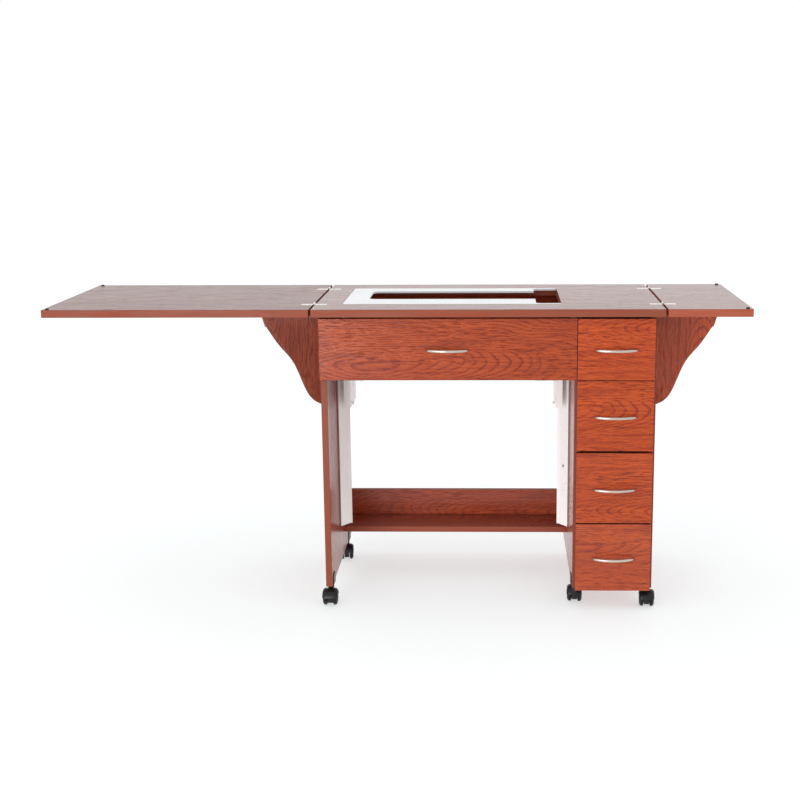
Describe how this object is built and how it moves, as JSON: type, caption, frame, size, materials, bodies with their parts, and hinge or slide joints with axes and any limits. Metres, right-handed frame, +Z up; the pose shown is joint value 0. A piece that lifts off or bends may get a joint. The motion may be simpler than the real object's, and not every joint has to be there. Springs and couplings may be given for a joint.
{
  "type": "sewing table",
  "caption": "Sewing cabinet on casters with fold-over leaves, swing-out wings, a machine lift with acrylic insert, a drop-front panel and a drawer pedestal.",
  "frame": {"origin": "bottom centre of the whole open table's box, on the floor", "axes": "+X to the sitter's right along the table, +Y from the sitter towards the back, +Z up"},
  "size_m": [1.723, 0.5118, 0.7722],
  "materials": {
    "cherry_laminate": "satin laminate, embossed grain",
    "drawer_box_board": "pale melamine",
    "satin_nickel": "satin nickel",
    "bright_nickel": "bright nickel",
    "white_powder_coat": "white powder coat",
    "frosted_acrylic": "frosted acrylic",
    "runner_enamel": "cream enamel",
    "black_enamel": "gloss black",
    "polished_rod": "polished",
    "bumper_rubber": "matt",
    "caster_nylon": "moulded",
    "caster_wheel_nylon": "moulded",
    "catch_plastic": "moulded brown",
    "black_steel": "black zinc",
    "zinc_steel": "zinc plated"
  },
  "bodies": {
    "cabinet": {"main_top": "cherry_laminate", "left_side_panel": "cherry_laminate", "partition_panel": "cherry_laminate", "right_side_panel": "cherry_laminate", "pedestal_back": "cherry_laminate", "pedestal_bottom": "cherry_laminate", "rear_apron": "cherry_laminate", "front_rail": "cherry_laminate", "shelf": "cherry_laminate", "shelf_back_board": "cherry_laminate", "left_lift_post": "white_powder_coat", "right_lift_post": "white_powder_coat", "gas_spring_cylinders": "black_enamel", "caster_brackets_and_sockets": "black_steel", "drawer_runners": "runner_enamel", "leaf_hinge_fixed_plates": "bright_nickel", "steel_hinge_fixed_leaves": "zinc_steel", "hinge_pins": "zinc_steel", "magnetic_catches": "catch_plastic", "cabinet_screws": "zinc_steel"},
    "left_leaf": {"left_leaf": "cherry_laminate", "left_leaf_hinge_plates": "bright_nickel", "left_leaf_bumpers": "bumper_rubber"},
    "right_leaf": {"right_leaf": "cherry_laminate", "right_leaf_hinge_plates": "bright_nickel", "right_leaf_bumpers": "bumper_rubber"},
    "left_wing": {"left_wing": "cherry_laminate", "left_wing_hinge_leaves": "zinc_steel"},
    "right_wing": {"right_wing": "cherry_laminate", "right_wing_hinge_leaves": "zinc_steel"},
    "drop_panel": {"drop_panel": "cherry_laminate", "drop_panel_handle": "satin_nickel", "drop_panel_hinge_leaves_and_strikes": "zinc_steel"},
    "lift": {"machine_platform": "cherry_laminate", "lift_brackets": "white_powder_coat", "lift_stop_bolts": "white_powder_coat", "gas_spring_rods": "polished_rod"},
    "bed_insert": {"bed_insert": "frosted_acrylic"},
    "drawer_1": {"drawer_1_front": "cherry_laminate", "drawer_1_box": "drawer_box_board", "drawer_1_handle": "satin_nickel"},
    "drawer_2": {"drawer_2_front": "cherry_laminate", "drawer_2_box": "drawer_box_board", "drawer_2_handle": "satin_nickel"},
    "drawer_3": {"drawer_3_front": "cherry_laminate", "drawer_3_box": "drawer_box_board", "drawer_3_handle": "satin_nickel"},
    "drawer_4": {"drawer_4_front": "cherry_laminate", "drawer_4_box": "drawer_box_board", "drawer_4_handle": "satin_nickel"},
    "caster_front_left": {"caster_front_left_hood": "caster_nylon"},
    "caster_front_left_wheels": {"caster_front_left_wheels": "caster_wheel_nylon"},
    "caster_rear_left": {"caster_rear_left_hood": "caster_nylon"},
    "caster_rear_left_wheels": {"caster_rear_left_wheels": "caster_wheel_nylon"},
    "caster_front_middle": {"caster_front_middle_hood": "caster_nylon"},
    "caster_front_middle_wheels": {"caster_front_middle_wheels": "caster_wheel_nylon"},
    "caster_front_right": {"caster_front_right_hood": "caster_nylon"},
    "caster_front_right_wheels": {"caster_front_right_wheels": "caster_wheel_nylon"},
    "caster_rear_right": {"caster_rear_right_hood": "caster_nylon"},
    "caster_rear_right_wheels": {"caster_rear_right_wheels": "caster_wheel_nylon"}
  },
  "joints": [
    {"name": "left_leaf_fold", "type": "hinge", "parent": "cabinet", "child": "left_leaf", "pos_m": [-0.2075, 0.00738, 0.7695], "axis": [0, -1, 0], "range_deg": [-180, 0]},
    {"name": "right_leaf_fold", "type": "hinge", "parent": "cabinet", "child": "right_leaf", "pos_m": [0.6555, 0.00738, 0.7695], "axis": [0, 1, 0], "range_deg": [-180, 0]},
    {"name": "left_wing_swing", "type": "hinge", "parent": "cabinet", "child": "left_wing", "pos_m": [-0.1913, 0.01688, 0.625], "axis": [0, 0, 1], "range_deg": [-90, 0]},
    {"name": "right_wing_swing", "type": "hinge", "parent": "cabinet", "child": "right_wing", "pos_m": [0.6393, 0.01688, 0.625], "axis": [0, 0, 1], "range_deg": [0, 90]},
    {"name": "drop_panel_hinge", "type": "hinge", "parent": "cabinet", "child": "drop_panel", "pos_m": [0.129, -0.21192, 0.59], "axis": [1, 0, 0], "range_deg": [0, 90]},
    {"name": "lift_slide", "type": "slide", "parent": "cabinet", "child": "lift", "axis": [0, 0, 1], "range_m": [-0.175, 0.08]},
    {"name": "insert_lift_out", "type": "slide", "parent": "cabinet", "child": "bed_insert", "axis": [0, 0, 1], "range_m": [0, 0.08]},
    {"name": "drawer_1_slide", "type": "slide", "parent": "cabinet", "child": "drawer_1", "axis": [0, -1, 0], "range_m": [0, 0.3]},
    {"name": "drawer_2_slide", "type": "slide", "parent": "cabinet", "child": "drawer_2", "axis": [0, -1, 0], "range_m": [0, 0.3]},
    {"name": "drawer_3_slide", "type": "slide", "parent": "cabinet", "child": "drawer_3", "axis": [0, -1, 0], "range_m": [0, 0.3]},
    {"name": "drawer_4_slide", "type": "slide", "parent": "cabinet", "child": "drawer_4", "axis": [0, -1, 0], "range_m": [0, 0.3]},
    {"name": "caster_front_left_swivel", "type": "hinge", "parent": "cabinet", "child": "caster_front_left", "pos_m": [-0.18, -0.17712, 0.045], "axis": [0, 0, 1], "continuous": true},
    {"name": "caster_front_left_roll", "type": "hinge", "parent": "caster_front_left", "child": "caster_front_left_wheels", "pos_m": [-0.18, -0.19412, 0.02], "axis": [1, 0, 0], "continuous": true},
    {"name": "caster_rear_left_swivel", "type": "hinge", "parent": "cabinet", "child": "caster_rear_left", "pos_m": [-0.18, 0.18688, 0.045], "axis": [0, 0, 1], "continuous": true},
    {"name": "caster_rear_left_roll", "type": "hinge", "parent": "caster_rear_left", "child": "caster_rear_left_wheels", "pos_m": [-0.17822, 0.16997, 0.02], "axis": [0.9945, 0.1045, 0], "continuous": true},
    {"name": "caster_front_middle_swivel", "type": "hinge", "parent": "cabinet", "child": "caster_front_middle", "pos_m": [0.444, -0.17712, 0.045], "axis": [0, 0, 1], "continuous": true},
    {"name": "caster_front_middle_roll", "type": "hinge", "parent": "caster_front_middle", "child": "caster_front_middle_wheels", "pos_m": [0.44578, -0.16022, 0.02], "axis": [-0.9945, 0.1045, 0], "continuous": true},
    {"name": "caster_front_right_swivel", "type": "hinge", "parent": "cabinet", "child": "caster_front_right", "pos_m": [0.628, -0.17712, 0.045], "axis": [0, 0, 1], "continuous": true},
    {"name": "caster_front_right_roll", "type": "hinge", "parent": "caster_front_right", "child": "caster_front_right_wheels", "pos_m": [0.62681, -0.19408, 0.02], "axis": [0.9976, -0.0698, 0], "continuous": true},
    {"name": "caster_rear_right_swivel", "type": "hinge", "parent": "cabinet", "child": "caster_rear_right", "pos_m": [0.628, 0.18688, 0.045], "axis": [0, 0, 1], "continuous": true},
    {"name": "caster_rear_right_roll", "type": "hinge", "parent": "caster_rear_right", "child": "caster_rear_right_wheels", "pos_m": [0.62389, 0.17038, 0.02], "axis": [0.9703, -0.2419, 0], "continuous": true}
  ]
}
